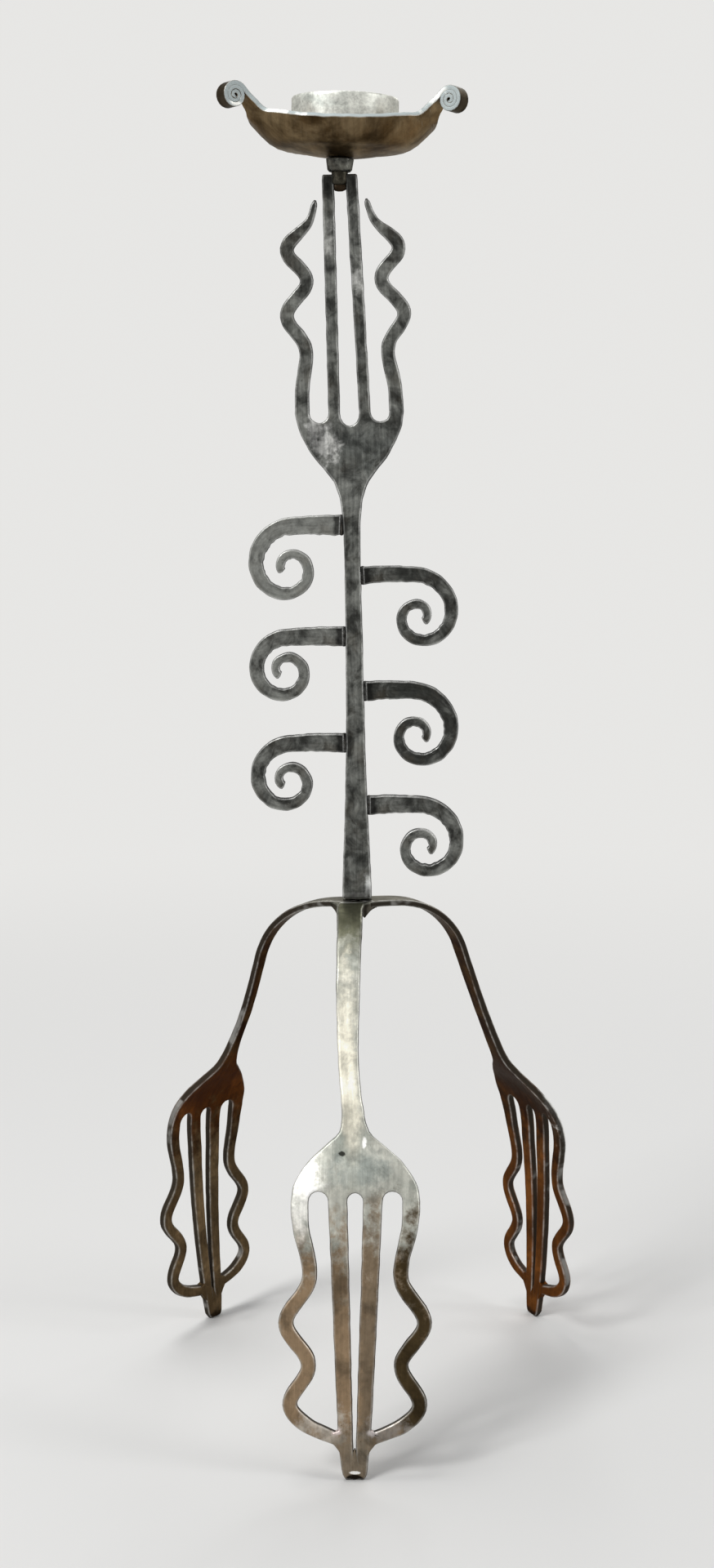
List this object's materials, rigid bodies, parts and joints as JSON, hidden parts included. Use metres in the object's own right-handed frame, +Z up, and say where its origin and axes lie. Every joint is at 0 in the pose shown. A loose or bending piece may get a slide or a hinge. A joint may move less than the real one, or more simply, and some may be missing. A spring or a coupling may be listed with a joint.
{
  "type": "candle stand",
  "caption": "Free-standing candle stand welded from bent table forks, with scrolls on its stem and a three-cornered drip pan under a candle cup.",
  "frame": {"origin": "on the ground, in the middle of the stand's bounding box", "axes": "+Z up, the front leg towards -Y, +X to the right as seen from the front"},
  "size_m": [0.1262, 0.1186, 0.3658],
  "materials": {
    "dark_steel": "dark gun-metal patina, mottled, edges rubbed bright",
    "bright_steel": "worn satin steel with scratches and small pits",
    "brown_steel": "brown-tinted satin steel with vertical streaks",
    "weld_metal": "rough weld and braze metal"
  },
  "bodies": {
    "root": {"stem_fork": "dark_steel", "scroll_left_1": "dark_steel", "scroll_left_2": "dark_steel", "scroll_left_3": "dark_steel", "scroll_right_1": "dark_steel", "scroll_right_2": "dark_steel", "scroll_right_3": "dark_steel", "pan_stud": "dark_steel", "collar": "dark_steel", "cup_nut": "dark_steel", "leg_fork_front": "bright_steel", "candle_cup": "bright_steel", "leg_fork_rear_left": "brown_steel", "leg_fork_rear_right": "brown_steel", "drip_pan": "brown_steel", "scroll_weld_left_1": "weld_metal", "scroll_weld_left_2": "weld_metal", "scroll_weld_left_3": "weld_metal", "scroll_weld_right_1": "weld_metal", "scroll_weld_right_2": "weld_metal", "scroll_weld_right_3": "weld_metal", "foot_weld_front": "weld_metal", "foot_weld_rear_left": "weld_metal", "foot_weld_rear_right": "weld_metal", "tine_braze_front_left": "weld_metal", "tine_braze_front_right": "weld_metal", "tine_braze_rear_left_left": "weld_metal", "tine_braze_rear_left_right": "weld_metal", "tine_braze_rear_right_left": "weld_metal", "tine_braze_rear_right_right": "weld_metal", "apex_weld": "weld_metal", "stem_weld": "weld_metal", "stud_braze": "weld_metal"}
  },
  "joints": []
}
